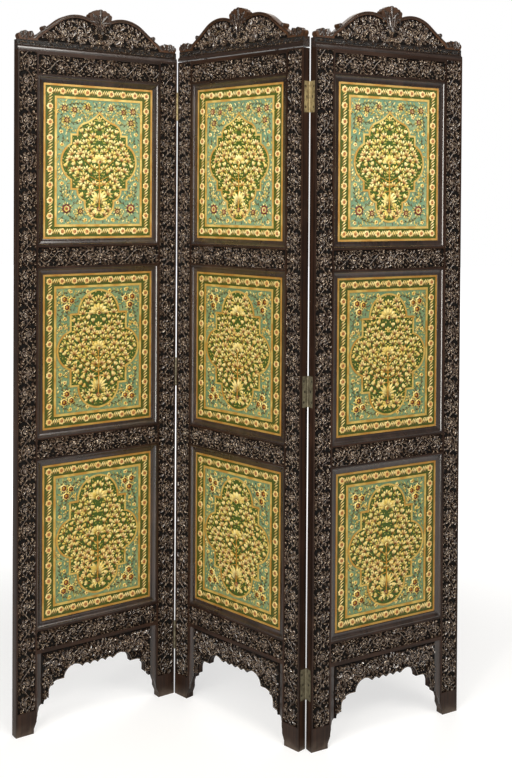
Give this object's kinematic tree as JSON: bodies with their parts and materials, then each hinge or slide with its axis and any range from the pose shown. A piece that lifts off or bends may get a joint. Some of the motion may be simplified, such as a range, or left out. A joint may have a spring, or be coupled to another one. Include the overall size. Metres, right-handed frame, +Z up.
{
  "type": "folding screen",
  "caption": "Folding screen of three carved wood leaves with painted and gilt relief panels, cusped aprons and arched crestings, on brass butt hinges.",
  "frame": {"origin": "on the floor, under the middle of the standing screen's bounding box", "axes": "+Z up, +Y away from the viewer of the pictured front, +X to that viewer's right"},
  "size_m": [1.1388, 0.3464, 1.833],
  "materials": {
    "frame_wood": "near-black brown carved hardwood, waxed and worn to a gloss on its high spots",
    "carved_wood": "near-black brown carved hardwood, a little lighter and redder where handled",
    "beading_wood": "dark polished mould strips",
    "painted_panel": "painted gesso relief on board: teal, green, red and gilding, aged",
    "dowel_wood": "plain turned wood",
    "hinge_brass": "dull, browned brass",
    "pin_steel": "browned steel"
  },
  "bodies": {
    "leaf_2": {"leaf_2_stile_left": "frame_wood", "leaf_2_stile_right": "frame_wood", "leaf_2_top_rail": "frame_wood", "leaf_2_upper_rail": "frame_wood", "leaf_2_lower_rail": "frame_wood", "leaf_2_bottom_rail": "frame_wood", "leaf_2_apron": "carved_wood", "leaf_2_panel_top": "painted_panel", "leaf_2_panel_middle": "painted_panel", "leaf_2_panel_bottom": "painted_panel", "leaf_2_front_beading": "beading_wood", "leaf_2_back_beading": "beading_wood", "leaf_2_crest_rail": "carved_wood", "leaf_2_crest": "carved_wood", "leaf_2_crest_dowels": "dowel_wood", "hinges_12_plates_leaf_2": "hinge_brass", "hinges_12_pins": "pin_steel", "hinges_12_screws_leaf_2": "pin_steel", "hinges_23_plates_leaf_2": "hinge_brass", "hinges_23_pins": "pin_steel", "hinges_23_screws_leaf_2": "pin_steel"},
    "leaf_1": {"leaf_1_stile_left": "frame_wood", "leaf_1_stile_right": "frame_wood", "leaf_1_top_rail": "frame_wood", "leaf_1_upper_rail": "frame_wood", "leaf_1_lower_rail": "frame_wood", "leaf_1_bottom_rail": "frame_wood", "leaf_1_apron": "carved_wood", "leaf_1_panel_top": "painted_panel", "leaf_1_panel_middle": "painted_panel", "leaf_1_panel_bottom": "painted_panel", "leaf_1_front_beading": "beading_wood", "leaf_1_back_beading": "beading_wood", "leaf_1_crest_rail": "carved_wood", "leaf_1_crest": "carved_wood", "leaf_1_crest_dowels": "dowel_wood", "hinges_12_plates_leaf_1": "hinge_brass", "hinges_12_screws_leaf_1": "pin_steel"},
    "leaf_3": {"leaf_3_stile_left": "frame_wood", "leaf_3_stile_right": "frame_wood", "leaf_3_top_rail": "frame_wood", "leaf_3_upper_rail": "frame_wood", "leaf_3_lower_rail": "frame_wood", "leaf_3_bottom_rail": "frame_wood", "leaf_3_apron": "carved_wood", "leaf_3_panel_top": "painted_panel", "leaf_3_panel_middle": "painted_panel", "leaf_3_panel_bottom": "painted_panel", "leaf_3_front_beading": "beading_wood", "leaf_3_back_beading": "beading_wood", "leaf_3_crest_rail": "carved_wood", "leaf_3_crest": "carved_wood", "leaf_3_crest_dowels": "dowel_wood", "hinges_23_plates_leaf_3": "hinge_brass", "hinges_23_screws_leaf_3": "pin_steel"}
  },
  "joints": [
    {"name": "fold_1_2", "type": "hinge", "parent": "leaf_2", "child": "leaf_1", "pos_m": [-0.18078, 0.15349, 0], "axis": [0, 0, 1], "range_deg": [-80, 100]},
    {"name": "fold_2_3", "type": "hinge", "parent": "leaf_2", "child": "leaf_3", "pos_m": [0.16118, -0.15226, 0], "axis": [0, 0, 1], "range_deg": [-75, 105]}
  ]
}
